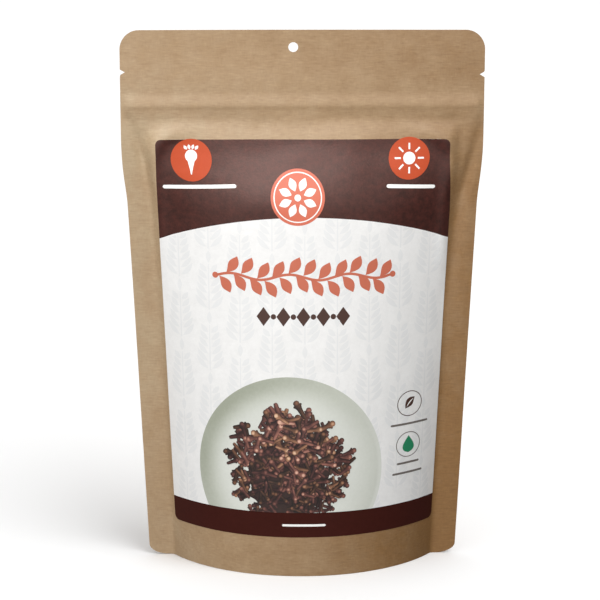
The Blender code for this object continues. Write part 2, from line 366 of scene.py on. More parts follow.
def new_piece(name, points, faces, materials, stands_for=(), flat=None, values=None, paint=None):
    """A mesh object from arrays, smooth but for its sharp edges, riding on the root body.

    flat is each point's place on the flat sheet, which becomes the piece's UV map at 1 m to one
    UV unit. values are point attributes by name, and paint is each face's material by number.
    Points in one place become one, and points with no face go.
    """
    mesh = bpy.data.meshes.new(name)
    mesh.from_pydata(np.asarray(points).tolist(), [], [list(face) for face in faces])
    if paint is not None:
        mesh.polygons.foreach_set("material_index", np.asarray(paint, np.int32))
    for key, numbers in (values or {}).items():
        mesh.attributes.new(key, "FLOAT", "POINT").data.foreach_set("value", np.asarray(numbers, np.float32))
    if flat is not None:
        corner = np.zeros(len(mesh.loops), np.int32)
        mesh.loops.foreach_get("vertex_index", corner)
        mesh.uv_layers.new(name="flat").data.foreach_set("uv", np.asarray(flat, np.float32)[corner].ravel())
    tidy = bmesh.new()
    tidy.from_mesh(mesh)
    bmesh.ops.remove_doubles(tidy, verts=tidy.verts, dist=SAME_POINT)
    loose = [point for point in tidy.verts if not point.link_faces]
    bmesh.ops.delete(tidy, geom=loose, context="VERTS")
    tidy.to_mesh(mesh)
    tidy.free()
    for each in materials:
        mesh.materials.append(each)
    mesh.shade_smooth()
    mesh.set_sharp_from_angle(angle=math.radians(50))
    piece = add_object(name, mesh)
    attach(piece, "root")
    if stands_for:
        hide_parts(*stands_for)
    return piece


def open_edges(piece):
    """How many edges don't have exactly two faces; none on a closed body."""
    check = bmesh.new()
    check.from_mesh(piece.data)
    count = sum(not edge.is_manifold for edge in check.edges)
    check.free()
    return count


# %% [markdown]
# ## Materials
#
# A material here starts from what the real thing is, and its patterns are sized in millimetres.
# Noise of scale N has features about 1/N metres wide on Object coordinates. Nodes could be set
# up by hand in the editor, but a script can be read and run again: one small function adds a
# node, sets it and links it. What is the same all over is set on the shader itself. Where a
# colour changes from place to place, each point of the mesh carries a number, its tone, and a
# colour ramp turns tone into colour.

# %% A helper that adds a node, and a colour by tone
def node(tree, kind, inputs=None, stops=None, **settings):
    """One node: settings are its properties, and inputs its sockets' values or links to outputs.

    stops, for a colour ramp, are pairs of a place from 0 to 1 and a hex colour.
    """
    made = tree.nodes.new("ShaderNode" + kind)
    for name, value in settings.items():
        setattr(made, name, value)
    for key, value in (inputs or {}).items():
        if isinstance(value, bpy.types.NodeSocket):
            tree.links.new(value, made.inputs[key])
        else:
            made.inputs[key].default_value = value
    if stops:
        ramp = made.color_ramp
        ramp.elements[0].position, ramp.elements[0].color = stops[0][0], colour(stops[0][1])
        ramp.elements[1].position, ramp.elements[1].color = stops[-1][0], colour(stops[-1][1])
        for spot, hexa in stops[1:-1]:
            ramp.elements.new(spot).color = colour(hexa)
    return made


def new_material(name, roughness, specular=0.5, base=None, sheen_tint=None):
    """A material with its tree and shader; base is a plain colour, if it has one."""
    made = bpy.data.materials.new(name)
    made.use_nodes = True
    shader = made.node_tree.nodes["Principled BSDF"]
    shader.inputs["Roughness"].default_value = roughness
    shader.inputs["Specular IOR Level"].default_value = specular
    if base:
        shader.inputs["Base Color"].default_value = colour(base)
    if sheen_tint:
        shader.inputs["Specular Tint"].default_value = colour(sheen_tint)
    return made, made.node_tree, shader


def toned(tree, shift, stops):
    """The ramp's colour at each point's tone, once the tone is moved by shift."""
    tone = node(tree, "Attribute", attribute_name="tone")
    total = node(tree, "Math", {0: tone.outputs["Fac"], 1: shift}, operation="ADD")
    return node(tree, "ValToRGB", {"Fac": total.outputs[0]}, stops=stops).outputs["Color"]


# %% [markdown]
# ## Kraft paper
#
# Unbleached kraft paper is made from long brown fibres. From a step away that gives the eye a
# soft mottle, some 10 mm across, and up close thin lighter and darker fibres, most of them lying
# along the roll, which is across the pouch. It is matte. A picture of paper could be laid over
# it, but noise needs no picture and shows no seam. The fibres are two stretched noises, laid
# over the colour as soft light so that they don't change it as a whole. The tone is painted
# light and shade: paler to the left and at the shoulder, darker to the right and low down, on a
# ramp from a shaded, more saturated brown to a lit one greyed by painted sheen.

# %% Kraft paper
# From shaded to lit kraft: the dark end more saturated, the pale end greyed by painted sheen
KRAFT_SHADED_TO_LIT = [(0.0, "8b663c"), (0.35, "987956"), (0.6, "a68967"), (0.8, "ac9171"), (1.0, "b29b7c")]
FIBRE_LIGHT = [(0.28, "a8a8a8"), (0.44, "bababa"), (0.56, "bebebe"), (0.75, "d0d0d0")]
# Turn, lines to a metre each way, and strength: 3 mm long and 0.6 mm wide, then 2 mm and upright.
# Real fibres are finer, and are drawn coarser so that they show.
FIBRES = ((0.0, (320.0, 900.0, 1700.0), 0.75), (1.3, (1700.0, 900.0, 500.0), 0.35))


def kraft_paper():
    """Painted light and shade from the tone, a mottle of 9 mm on it, two sets of fibres over it, and a grain
    of 1 mm as a bump.
    """
    made, tree, shader = new_material("kraft_paper", roughness=0.5)
    place_on = node(tree, "TexCoord").outputs["Object"]
    mottle = node(tree, "TexNoise", {"Vector": place_on, "Scale": 110.0, "Detail": 5.0, "Roughness": 0.65})
    patch = node(tree, "MapRange", {0: mottle.outputs["Fac"], 1: 0.3, 2: 0.7, 3: -0.13, 4: 0.13})
    # The colour follows the tone's painted light and shade, moved by the mottle
    shade = toned(tree, patch.outputs["Result"], KRAFT_SHADED_TO_LIT)
    for turn, stretch, much in FIBRES:
        lie = node(tree, "Mapping", {"Vector": place_on, "Rotation": (0.0, turn, 0.3), "Scale": stretch})
        fibre = node(tree, "TexNoise", {"Vector": lie.outputs["Vector"], "Scale": 1.0, "Detail": 2.0})
        light = node(tree, "ValToRGB", {"Fac": fibre.outputs["Fac"]}, stops=FIBRE_LIGHT)
        shade = node(tree, "Mix", {0: much, 6: shade, 7: light.outputs["Color"]}, data_type="RGBA",
                     blend_type="SOFT_LIGHT").outputs[2]
    tree.links.new(shade, shader.inputs["Base Color"])
    grain = node(tree, "TexNoise", {"Vector": place_on, "Scale": 1100.0, "Detail": 3.0, "Roughness": 0.65})
    bump = node(tree, "Bump", {"Height": grain.outputs["Fac"], "Distance": 0.05 * MM, "Strength": 0.5})
    tree.links.new(bump.outputs["Normal"], shader.inputs["Normal"])
    return made


KRAFT = kraft_paper()

# %% [markdown]
# ## The pouch
#
# The flat outline has rounded corners and a V-shaped tear notch in each side edge. A Boolean
# could cut them, but it leaves thin slivers that shade badly. Here the grid itself meets the
# outline: beyond 60 mm from the middle its columns spread or close up, so that the last column
# is the edge. The columns are closer beside the welds, where the folds run, and the rows are
# closer at the zip and the notches.

# %% The flat outline and its grid
FREE_COLUMN = 60 * MM


def outline(z, hand):
    """Half the sheet's width at this height on one side: rounded corners and a tear notch."""
    above = np.clip(z - (HEIGHT - TOP_CORNER), 0.0, TOP_CORNER)
    below = np.clip(1 - z / FOOT_CORNER_TALL, 0.0, 1.0)
    corner = TOP_CORNER - np.sqrt(TOP_CORNER**2 - above**2) + FOOT_CORNER_WIDE * (1 - np.sqrt(1 - below**2))
    notch_z = NOTCH_LEFT_Z if hand < 0 else NOTCH_RIGHT_Z
    notch = NOTCH_DEPTH * np.clip(1 - np.abs(z - notch_z) / (NOTCH_HEIGHT / 2), 0.0, 1.0)
    return HALF_WIDTH - corner - notch


def steps(stops, sizes):
    """Values from stop to stop in millimetres, in even steps no larger than each stretch's size."""
    stretches = zip(stops, stops[1:], sizes)
    parts = [np.linspace(a, b, math.ceil(round((b - a) / size, 6)) + 1)[:-1] for a, b, size in stretches]
    return np.concatenate([*parts, stops[-1:]]) * MM


# Stops in millimetres, across and then up, with the quads' size between each two
hole_x, hole_z = (v / MM for v in HOLE_PLACE)
hole_r = HOLE_RADIUS / MM
SHEET_S = steps([-70, -60, -44, hole_x - hole_r, hole_x + hole_r, 44, 60, 70],
                [0.8, 0.65, 1.3, hole_r / 4, 1.3, 0.65, 0.8])
arc = np.linspace(0, math.pi / 2, 9)
foot_rows = FOOT_CORNER_TALL * (1 - np.cos(arc))[:-1]
top_start = math.asin((hole_z + hole_r - (HEIGHT - TOP_CORNER) / MM) / (TOP_CORNER / MM))
top_rows = HEIGHT - TOP_CORNER * (1 - np.sin(np.linspace(top_start, math.pi / 2, 10)[1:]))
right_notch, left_notch, half_notch = (v / MM for v in (NOTCH_RIGHT_Z, NOTCH_LEFT_Z, NOTCH_HEIGHT / 2))
notch_rows = [right_notch - half_notch, right_notch, left_notch, left_notch + half_notch]
SHEET_Z = np.concatenate([
    foot_rows,
    steps([4, 30, 140, 174, 190, *notch_rows, hole_z - hole_r, hole_z + hole_r],
          [1.0, 1.25, 1.0, 0.6, 0.9, 0.55, 0.5, 0.55, 0.9, hole_r / 4]),
    top_rows])
print("pouch grid", len(SHEET_Z), "rows by", len(SHEET_S), "columns")


def sheet_grid():
    """(s, z) grids of one wall, and the quads' rows and columns that lie in the hang hole.

    Round the hole the grid's squares are turned into circles: a point at q, its larger distance
    along s or z, moves to q from the hole's centre in its own direction, less and less outwards.
    """
    z, s = np.meshgrid(SHEET_Z, SHEET_S, indexing="ij")
    edge = np.where(s < 0, outline(z, -1), outline(z, 1))
    beyond = np.clip((np.abs(s) - FREE_COLUMN) / (HALF_WIDTH - FREE_COLUMN), 0.0, 1.0)
    s = np.sign(s) * (np.minimum(np.abs(s), FREE_COLUMN) + beyond * (edge - FREE_COLUMN))
    ds, dz = s - HOLE_PLACE[0], z - HOLE_PLACE[1]
    q = np.maximum(np.abs(ds), np.abs(dz))
    share = smoothstep((3 * HOLE_RADIUS - q) / (2 * HOLE_RADIUS))
    pull = 1 + share * (q / np.maximum(np.hypot(ds, dz), 1e-9) - 1)
    return HOLE_PLACE[0] + ds * pull, HOLE_PLACE[1] + dz * pull, q < HOLE_RADIUS + 1e-6


# %% [markdown]
# The base is a gusset: a third sheet that is folded up between the walls. It lies on the floor
# in the middle and rises to the sides, where it is welded to the walls. The rim that the pouch
# stands on runs round it. It could be a sheet of its own, but one that shares the walls' points
# leaves no gap at the weld. So each column of the grid gets a line of points from the front
# rim, up the inner side of the weld, over the gusset and down to the back rim.

# %% The gusset under the pouch
RIM = 0.5 * MM
FLAT_HALF = 24 * MM
GUSSET_RISE = 28 * MM
GUSSET_POWER = 1.8
GUSSET_SEAL = 0.7
GUSSET_END = 0.955


def gusset(s):
    """Lines of points under the pouch: climb is a power of the distance beyond the flat middle."""
    s = s[:, None]
    climb = GUSSET_RISE * np.clip((np.abs(s) - FLAT_HALF) / (s.max() - FLAT_HALF), 0, 1) ** GUSSET_POWER
    up = GUSSET_SEAL * climb * np.linspace(0, 1, 6)
    share = np.linspace(1, 0, 13)[1:]
    arch = GUSSET_SEAL * climb + (1 - GUSSET_SEAL) * climb * (1 - share**2)

    def half(side):
        """From one rim up inside the weld, then over to the middle, y shrinking with share."""
        inner, over = place(s + 0 * up, up, side), place(s + 0 * arch, arch, side)
        inner[..., 1] = side * np.maximum(side * inner[..., 1] - RIM, 0.0)
        over[..., 1] = side * share * np.maximum(side * over[..., 1] - RIM, 0.0)
        return np.concatenate([inner, over], axis=1)

    lines = np.concatenate([half(-1), half(1)[:, -2::-1]], axis=1)
    lines[[0, -1], :, 1] = 0.0
    return lines


def painted_kraft_light(s, z):
    """Painted light on the kraft, 0 to 1: paler left, darker right, a painted highlight at the shoulder,
    painted shade low down.
    """
    # Painted light: paler to the left and darker to the right, half as much at the top
    painted_side_light = 0.4 - 0.2 * rise(z, 170, 181)
    # Painted highlight on the shoulder
    shoulder = rise(z, 150, 165) * rise(z, 200, 185)
    # Painted shade low down, halved at the lower left corner
    foot = rise(z, 95, 15) - 0.5 * rise(z, 26, 12) * rise(s, 42, -3)
    return 0.52 - painted_side_light * s / HALF_WIDTH + 0.12 * shoulder - 0.2 * foot


def make_pouch():
    """Rings from the floor to the top edge, with the gusset below and the hang hole through both.

    Columns j of the front wall have the numbers j, and those of the back around - 1 - j.
    """
    s, z, hole = sheet_grid()
    outer, back = place(s, z, -1), place(s, z, 1)
    points, faces = closed_stack(outer, back)
    rows, cols = s.shape
    around = 2 * cols
    # The strip that closes the first ring goes, because the gusset takes its place
    keep = np.ones(len(faces), bool)
    keep[(rows - 1) * around : (rows - 1) * around + cols - 1] = False

    # The hole's quads go from both walls, and a tube joins the two edges that this leaves
    whole = hole[:-1, :-1] & hole[1:, :-1] & hole[:-1, 1:] & hole[1:, 1:]
    i, j = np.nonzero(whole)
    keep[i * around + j] = False
    keep[i * around + (around - 2 - j)] = False
    faces = faces[keep]
    i0, i1, j0, j1 = i.min(), i.max() + 1, j.min(), j.max() + 1
    loop = [*[(i0, c) for c in range(j0, j1)], *[(r, j1) for r in range(i0, i1)],
            *[(i1, c) for c in range(j1, j0, -1)], *[(r, j0) for r in range(i1, i0, -1)]]
    r, c = np.array(loop).T
    near, far = r * around + c, r * around + (around - 1 - c)
    tube = np.stack([near, np.roll(near, -1), np.roll(far, -1), far], axis=-1)

    # The gusset's lines join the rim's points in front and behind, and strips close the welds
    first, last = np.flatnonzero(np.abs(SHEET_S) <= GUSSET_END * INNER)[[0, -1]]
    lines = gusset(s[0, first : last + 1])
    count, path = lines.shape[:2]
    start = rows * around
    j = np.arange(first, last)
    here = start + (j - first) * path
    foot = [np.stack([j, here, here + path, j + 1], axis=-1),
            np.stack([around - 1 - j, around - 2 - j, here + 2 * path - 1, here + path - 1], axis=-1)]
    sides = strip(0, around, [*range(first - 1), *range(last + 1, cols - 1)])[:, ::-1]
    far_line = start + (last - first) * path
    corners = [[first - 1, around - first, around - 1 - first, start, first],
               [last, far_line, around - 1 - last, around - 2 - last, last + 1]]
    under = quads(count, path, start=start)
    everything = [*faces.tolist(), *tube.tolist(), *foot[0].tolist(), *foot[1].tolist(), *sides.tolist(),
                  *corners, *under.tolist()]
    points = np.concatenate([points, lines.reshape(-1, 3)])
    sheet = np.stack([s, z], -1)
    flat = np.concatenate([both_sides(sheet, sheet), lines.reshape(-1, 3)[:, :2]])
    # The tone is painted light and shade on the kraft
    return new_piece("pouch_paper", points, everything, [KRAFT], ["pouch"], flat=flat,
                     values={"tone": painted_kraft_light(*flat.T)})


pouch = make_pouch()
print("pouch:", len(pouch.data.polygons), "faces,", open_edges(pouch), "open edges")

# %% [markdown]
# ## The label
#
# The label is one sheet of white paper with a brown header above an arched border and a brown
# foot band. Its grid rows follow those borders, so each colour is a range of rows and its edge
# is as sharp as print, where a picture would blur up close. The ink covers the front alone: the
# cut edge and the back are white paper. The sheet lies a tenth of a millimetre proud of the
# wall. Below its upper corners it is drawn three hundredths wider, because the bent sheet turns
# a little more at the sides than the real one does, which would make the label look narrow.

# %% Sizes of the label
LABEL_SHIFT = 0.65 * MM
LABEL_HALF = 56.9 * MM
LABEL_FLARE = 0.03
FLARE_FROM_TO = (4, 28)
LABEL_TOP = 169.1 * MM
LABEL_BAND = 25.5 * MM
LABEL_BOTTOM = 15.7 * MM
LABEL_CORNER = 2.2 * MM
ARCH_TOP = 140.9 * MM
ARCH_RADIUS = 157 * MM
LABEL_LOW = 0.02 * MM
LABEL_HIGH = 0.12 * MM


def arch_line(s):
    """The header's lower border: an arc of a large circle, highest in the middle."""
    return ARCH_TOP - ARCH_RADIUS + np.sqrt(ARCH_RADIUS**2 - s**2)


def label_grid():
    """(s, z) grid of the label from its foot up, and the number of rows up to each border.

    half is half the width at each row's end, where the corners are arcs. The eighth power of the
    place along the row draws in the outermost columns and leaves the others where they are.
    """
    low = LABEL_CORNER * (1 - np.cos(np.linspace(0, math.pi / 2, 9)))
    band = np.concatenate([LABEL_BOTTOM + low, np.linspace(LABEL_BOTTOM + LABEL_CORNER, LABEL_BAND, 8)[1:]])
    s = steps([-LABEL_HALF / MM, LABEL_HALF / MM], [1.15])
    arch_z = arch_line(s)
    body = LABEL_BAND + np.linspace(0, 1, 97)[1:, None] * (arch_z - LABEL_BAND)
    share = np.linspace(0, 1, 25)[1:, None]
    head = arch_z + share * (LABEL_TOP - LABEL_CORNER - arch_z)
    top = LABEL_TOP - low[::-1][1:, None] + 0 * s
    z = np.concatenate([band[:, None] + 0 * s, body, head, top])
    end = z[:, :1]
    reach = np.clip(LABEL_CORNER - np.minimum(LABEL_TOP - end, end - LABEL_BOTTOM), 0.0, LABEL_CORNER)
    half = LABEL_HALF - LABEL_CORNER + np.sqrt(LABEL_CORNER**2 - reach**2)
    inset = (LABEL_HALF - half) * np.abs(s / LABEL_HALF) ** 8
    low = rise(LABEL_TOP - z, *FLARE_FROM_TO)
    s = (s - np.sign(s) * inset) * (1 + LABEL_FLARE * low) + LABEL_SHIFT * (0.2 + 0.8 * low)
    return s, z, (len(band), len(band) + len(body))


# %% [markdown]
# Coated label paper is smoother than kraft, with a satin sheen: it mirrors a soft light dimly,
# which greys the brown ink where the paper leans back. The ink is darker than the header looks,
# because the sheen lies over it, and the header's coat is rougher, with more mottle in its ink.
# Each colour is a material of its own with a faint paper grain.

# %% Label inks
def printed(name, hexa, mottle=0.03, roughness=0.5, specular=0.5, sheen_tint=None, deep=0.02):
    """Ink on coated paper: one colour, uneven by mottle in clouds of 2 mm, with a fine grain.

    Real paper's grain is finer than 0.1 mm: it is drawn 0.7 mm wide and deep mm deep, to show.
    """
    made, tree, shader = new_material(name, roughness, specular, sheen_tint=sheen_tint)
    place_on = node(tree, "TexCoord").outputs["Object"]
    cloud = node(tree, "TexNoise", {"Vector": place_on, "Scale": 420.0, "Detail": 4.0, "Roughness": 0.8})
    value = node(tree, "MapRange", {0: cloud.outputs["Fac"], 1: 0.3, 2: 0.7, 3: 1 - mottle, 4: 1 + mottle})
    ink = node(tree, "HueSaturation", {"Value": value.outputs["Result"], "Color": colour(hexa)})
    tree.links.new(ink.outputs["Color"], shader.inputs["Base Color"])
    grain = node(tree, "TexNoise", {"Vector": place_on, "Scale": 1400.0, "Detail": 2.0})
    bump = node(tree, "Bump", {"Height": grain.outputs["Fac"], "Distance": deep * MM, "Strength": 0.5})
    tree.links.new(bump.outputs["Normal"], shader.inputs["Normal"])
    return made


LABEL_PAPER = printed("coated_paper_white", "eeedeb", mottle=0.04)
WARM_SHEEN = "ffdcd2"
BROWN_INK = printed("brown_ink", "3b1a15", mottle=0.55, roughness=0.42, specular=0.6,
                    sheen_tint=WARM_SHEEN, deep=0.1)
BAND_INK = printed("brown_ink_foot", "3d1a15", mottle=0.08, roughness=0.42, specular=0.1,
                   sheen_tint=WARM_SHEEN)


# %% The label as a thin closed body
def make_label():
    """Outer and inner sheet closed into rings, with each front row's quads painted by its zone."""
    s, z, (band_rows, body_rows) = label_grid()
    points, faces = closed_stack(stand(s, z, lift=LABEL_HIGH), stand(s, z, lift=LABEL_LOW))
    rows, cols = s.shape
    zone = np.digitize(np.arange(rows - 1), [band_rows - 1, body_rows - 1])
    paint = np.zeros((rows - 1, 2 * cols), int)
    paint[:, : cols - 1] = np.array([1, 0, 2])[zone, None]
    paint = np.concatenate([paint.ravel(), np.zeros(2 * (cols - 1), int)])
    sheet = np.stack([s, z], -1)
    return new_piece("label_sheet", points, faces, [LABEL_PAPER, BAND_INK, BROWN_INK],
                     ["label"], flat=both_sides(sheet, sheet), paint=paint)


label = make_label()
print("label:", len(label.data.polygons), "faces,", open_edges(label), "open edges")

# %% [markdown]
# ## The round stickers
#
# Each is a disc of satin paper, laid over the label. A flat cylinder could stand for it, but it
# has to bend with the wall. So its rows are circles: outwards over the front, round the cut
# edge and back to the middle underneath, which closes both poles.

# %% Round stickers
STICKER_RADIUS = 8.0 * MM
STICKER_LOW = 0.14 * MM
STICKER_HIGH = 0.24 * MM
STICKERS = {"badge_left": (-43.0 * MM, 161.4 * MM), "badge_right": (41.2 * MM, 161.9 * MM)}
ORANGE = printed("orange_paper", "bf4b25", roughness=0.55, specular=0.3)


def make_sticker(node_name, centre):
    """Circles s + r cos a, z + r sin a on the flat sheet, out along its face and back below it."""
    radius = STICKER_RADIUS * np.linspace(0, 1, 13)[:, None]
    angle = np.linspace(2 * math.pi, 0, 72, endpoint=False)
    s, z = centre[0] + radius * np.cos(angle), centre[1] + radius * np.sin(angle)
    outer, inner = stand(s, z, lift=STICKER_HIGH), stand(s, z, lift=STICKER_LOW)
    rings = np.concatenate([outer, inner[::-1]])
    return new_piece(node_name + "_sticker", rings.reshape(-1, 3), quads(*rings.shape[:2], wrap=True),
                     [ORANGE], [node_name])


for name, centre in STICKERS.items():
    sticker = make_sticker(name, centre)
    print(sticker.name, open_edges(sticker), "open edges")

# %% [markdown]
# ## Printed shapes
#
# The rest of the print is flat shapes laid a few hundredths of a millimetre over the label, so
# their edges stay sharp at any distance. All of them are worked out on the flat sheet, in
# millimetres, and then bent with it. A print could be a picture, which is quicker to make, but
# shapes keep clean edges and can be changed one by one. Two kinds of grid make them all: a disc
# or ring, whose rows are circles, and a ribbon, whose rows run across a route. A leaf is a
# ribbon whose width swells and closes again.

# %% Discs, ribbons and leaves on the flat sheet
INK_LIFT = 0.16 * MM
LEAST_AREA = 1e-4


def disc(s, z, outer, inner=0.0, rings=4, around=48):
    """Circles from the inner to the outer radius round (s, z)."""
    radius = np.linspace(inner, outer, rings)[:, None]
    angle = np.linspace(0, 2 * math.pi, around, endpoint=False)
    return s + radius * np.cos(angle), z + radius * np.sin(angle), True


def ribbon(s, z, half):
    """Rows of five points across a route, half being its half width at each point of the route."""
    s, z, half = np.broadcast_arrays(s, z, half)
    along_s, along_z = np.gradient(s), np.gradient(z)
    size = np.hypot(along_s, along_z)
    across = np.linspace(-1, 1, 5)
    return (s[:, None] - (along_z / size * half)[:, None] * across,
            z[:, None] + (along_s / size * half)[:, None] * across, False)


def leaf(s, z, angle, length, width, curl=0.0, belly=1.0, count=13):
    """A ribbon from (s, z) whose half width is sin(pi t^belly) and whose direction turns by curl."""
    t = np.linspace(0.004, 0.996, count)
    way = angle + curl * (t - 0.5)
    step = length / count
    half = width / 2 * np.sin(math.pi * t**belly)
    return ribbon(s + np.cumsum(np.cos(way)) * step, z + np.cumsum(np.sin(way)) * step, half)


def rule(s0, s1, z, half, tilt=0.0):
    """A straight bar with rounded ends, higher by tilt at its right end."""
    t = (1 - np.cos(np.linspace(0, math.pi, 40))) / 2
    end = np.minimum(t, 1 - t) * (s1 - s0)
    width = np.sqrt(half**2 - np.clip(half - end, 0, half * 0.98) ** 2)
    return ribbon(s0 + t * (s1 - s0), z + tilt * t, width)


def face_up(s, z, faces):
    """The faces turned to the viewer, and which ones are kept: not those closed up to a line."""
    a, b, c, d = (np.stack([s, z])[:, faces[:, k]] for k in range(4))
    area = (c[0] - a[0]) * (d[1] - b[1]) - (c[1] - a[1]) * (d[0] - b[0])
    kept = np.abs(area) > LEAST_AREA
    return np.where((area < 0)[:, None], faces[:, ::-1], faces)[kept], kept


def print_shapes(name, shapes, ink, lift=INK_LIFT, keep_z=None, values=None):
    """One mesh of many flat shapes, bent onto the label and lifted off it.

    keep_z gives the least and the greatest height that may be printed: what reaches past them
    is pushed back to them, and the faces that this closes up are left out.
    """
    starts = np.cumsum([0, *(s.size for s, _, _ in shapes)])
    faces = np.concatenate([quads(*s.shape, wrap, start) for (s, _, wrap), start in zip(shapes, starts)])
    s, z = (np.concatenate([shape[k].ravel() for shape in shapes]) for k in (0, 1))
    if keep_z:
        z = np.clip(z, *keep_z(s))
    points = stand(s * MM, z * MM, lift=np.broadcast_to(lift, s.shape))
    return new_piece(name, points, face_up(s, z, faces)[0], [ink],
                     flat=np.stack([s, z], -1) * MM, values=values)


BAND_EDGE = LABEL_BAND / MM + 0.02
ARCH_GAP = 0.05


def on_white(s):
    """The least and greatest height at s: from the foot band's edge to the arch above it."""
    return BAND_EDGE, arch_line((s - LABEL_SHIFT / MM) * MM) / MM - ARCH_GAP


def above_band(s):
    """The least and greatest height at s: from the foot band's edge up, with no upper limit."""
    return BAND_EDGE, HEIGHT / MM


# %% [markdown]
# Over the white lies a pattern so pale that it shows only up close: upright sprigs in columns,
# every second column half a step lower. A sprig is a thin stem with pairs of slim leaves. The
# pattern is made by two loops over columns and rows, so that one sprig is drawn only once.

# %% The pale pattern
SPRIG_WIDE = 12.6
SPRIG_TALL = 24.0
PALE_INK = printed("pale_grey_ink", "e7e7e6", mottle=0.01)


def sprig(s, z):
    """A stem with six pairs of slim leaves that get smaller upwards, and one at its tip."""
    t = np.linspace(0, 1, 9)
    stem = SPRIG_TALL - 6
    shapes = [ribbon(s + 0 * t, z + t * stem, 0.3 - 0.1 * t), leaf(s, z + stem, 1.57, 5.4, 2.0)]
    for k in range(6):
        for hand in (-1, 1):
            way = 1.57 - hand * 0.8
            shapes.append(leaf(s + 0.3 * hand, z + 0.5 + 2.9 * k, way, 7.8 - 0.65 * k, 2.0, curl=hand * 0.6))
    return shapes


sprigs = []
for column in range(-5, 6):
    for row in range(-1, 6):
        low = 20 + SPRIG_TALL * (row + 0.5 * (column % 2))
        if low > 12:
            sprigs += sprig(LABEL_SHIFT / MM + SPRIG_WIDE * column, low)
sprigs = [shape for shape in sprigs if np.abs(shape[0] - LABEL_SHIFT / MM).max() < LABEL_HALF / MM - 0.5]
pattern = print_shapes("pale_pattern", sprigs, PALE_INK, lift=0.145 * MM, keep_z=on_white)
print("pattern:", len(sprigs), "shapes,", len(pattern.data.polygons), "faces")

# %% [markdown]
# ## The printed dish and its heap
#
# The picture on the label is a pale ceramic dish seen from above, cut off by the brown foot. Its
# rim is greener and darker at the upper left, where it leans away from the light, and has a
# fine pale line at the right. A real dish could be modelled and lit, but a print keeps its
# shading whichever way the pouch is turned. So the tone of each point is worked out from its
# place on the dish, and the ink's colours run along that tone.

# %% The dish
DISH_S, DISH_Z, DISH_R = -5.6, 42.0, 37.2
DARK_SIDE = math.radians(140)
RIM_START, RIM_FULL = 0.66, 0.96


def picture_ink(name, stops):
    """Ink whose colour follows each point's tone along a ramp, with specks of 1 mm."""
    made, tree, shader = new_material(name, roughness=0.45)
    place_on = node(tree, "TexCoord").outputs["Object"]
    speck = node(tree, "TexNoise", {"Vector": place_on, "Scale": 900.0, "Detail": 2.0})
    shift = node(tree, "MapRange", {0: speck.outputs["Fac"], 1: 0.25, 2: 0.75, 3: -0.05, 4: 0.05})
    tree.links.new(toned(tree, shift.outputs["Result"], stops), shader.inputs["Base Color"])
    return made


DISH_INK = picture_ink("dish_print", [(0.0, "a1a594"), (0.5, "c4c7bb"), (1.0, "dadcd4")])


def make_dish():
    """Circles with a tone: near 1 inside, and darker over the rim by how far it faces the dark side.

    facing is the cosine of the angle from the dark side's direction, rim goes from 0 to 1 between
    two radii, and ring is the pale line on the side across from it.
    """
    s, z, wrap = disc(DISH_S, DISH_Z, DISH_R, rings=60, around=180)
    share = np.hypot(s - DISH_S, z - DISH_Z) / DISH_R
    facing = np.cos(np.arctan2(z - DISH_Z, s - DISH_S) - DARK_SIDE)
    rim = smoothstep((share - RIM_START) / (RIM_FULL - RIM_START))
    ring = smoothstep((share - 0.955) / 0.02) * np.clip(-facing, 0, 1)
    tone = 0.95 - rim * (0.22 + 0.72 * np.clip(0.3 + 0.7 * facing, 0, 1)) + 0.3 * ring
    tone += 0.06 * lumps(s * MM, z * MM, 14 * MM, 5)
    return print_shapes("printed_dish", [(s, z, wrap)], DISH_INK, lift=0.17 * MM,
                        keep_z=above_band, values={"tone": tone.ravel()})


dish = make_dish()
print("dish:", len(dish.data.polygons), "faces")

# %% [markdown]
# Whole cloves are dried flower buds: a tapered stem, four short sepals that stand out round its
# top, and a round bud held between them. The heap is only printed, so solid buds would stand
# too proud: one flat clove is made as a grid along its stem and a small disc, with a tone that
# is light on one side and dark on the other. Some hundreds of copies are laid in the heap's
# outline by a seeded draw, all at once as arrays, fewer of them towards the edge, where they
# point outwards. Where two would overlap they must not share a height, so each takes the lowest
# layer that its neighbours leave free, and deeper layers are darker. Two inks, one redder and
# one more tan, keep the heap from looking like one colour.

# %% One flat clove, along u from its stem's end to its bud
def clove_shape():
    """Points (u, v), tones and quads of a clove one long; its stem is a profile of half widths.

    light is the stem's tone from edge to edge, and the bud is palest in its middle.
    """
    u = np.array([0.0, 0.06, 0.3, 0.55, 0.66, 0.73, 0.79, 0.8])
    half = np.array([0.06, 0.1, 0.115, 0.13, 0.17, 0.235, 0.2, 0.12])
    across = np.array([-1.0, -0.45, 0.2, 1.0])
    light = np.array([0.25, 0.62, 0.5, 0.05])
    stem = np.stack(np.broadcast_arrays(u[:, None], half[:, None] * across), -1).reshape(-1, 2)
    stem_tone = (light + 0.1 * np.sin(9 * u)[:, None]).ravel()
    angle = np.linspace(0, 2 * math.pi, 10, endpoint=False)
    radius = np.array([0.0, 0.55, 1.0])[:, None]
    ball = np.stack([0.86 + 0.15 * radius * np.cos(angle), 0.16 * radius * np.sin(angle)], -1).reshape(-1, 2)
    ball_tone = (0.94 - 0.55 * radius**2 - 0.22 * radius * np.sin(angle)).ravel()
    faces = np.concatenate([quads(8, 4), quads(3, 10, wrap=True, start=len(stem))])
    return np.concatenate([stem, ball]), np.concatenate([stem_tone, ball_tone]), faces


CLOVE_UV, CLOVE_TONE, CLOVE_FACES = clove_shape()
print("one clove:", len(CLOVE_FACES), "faces")

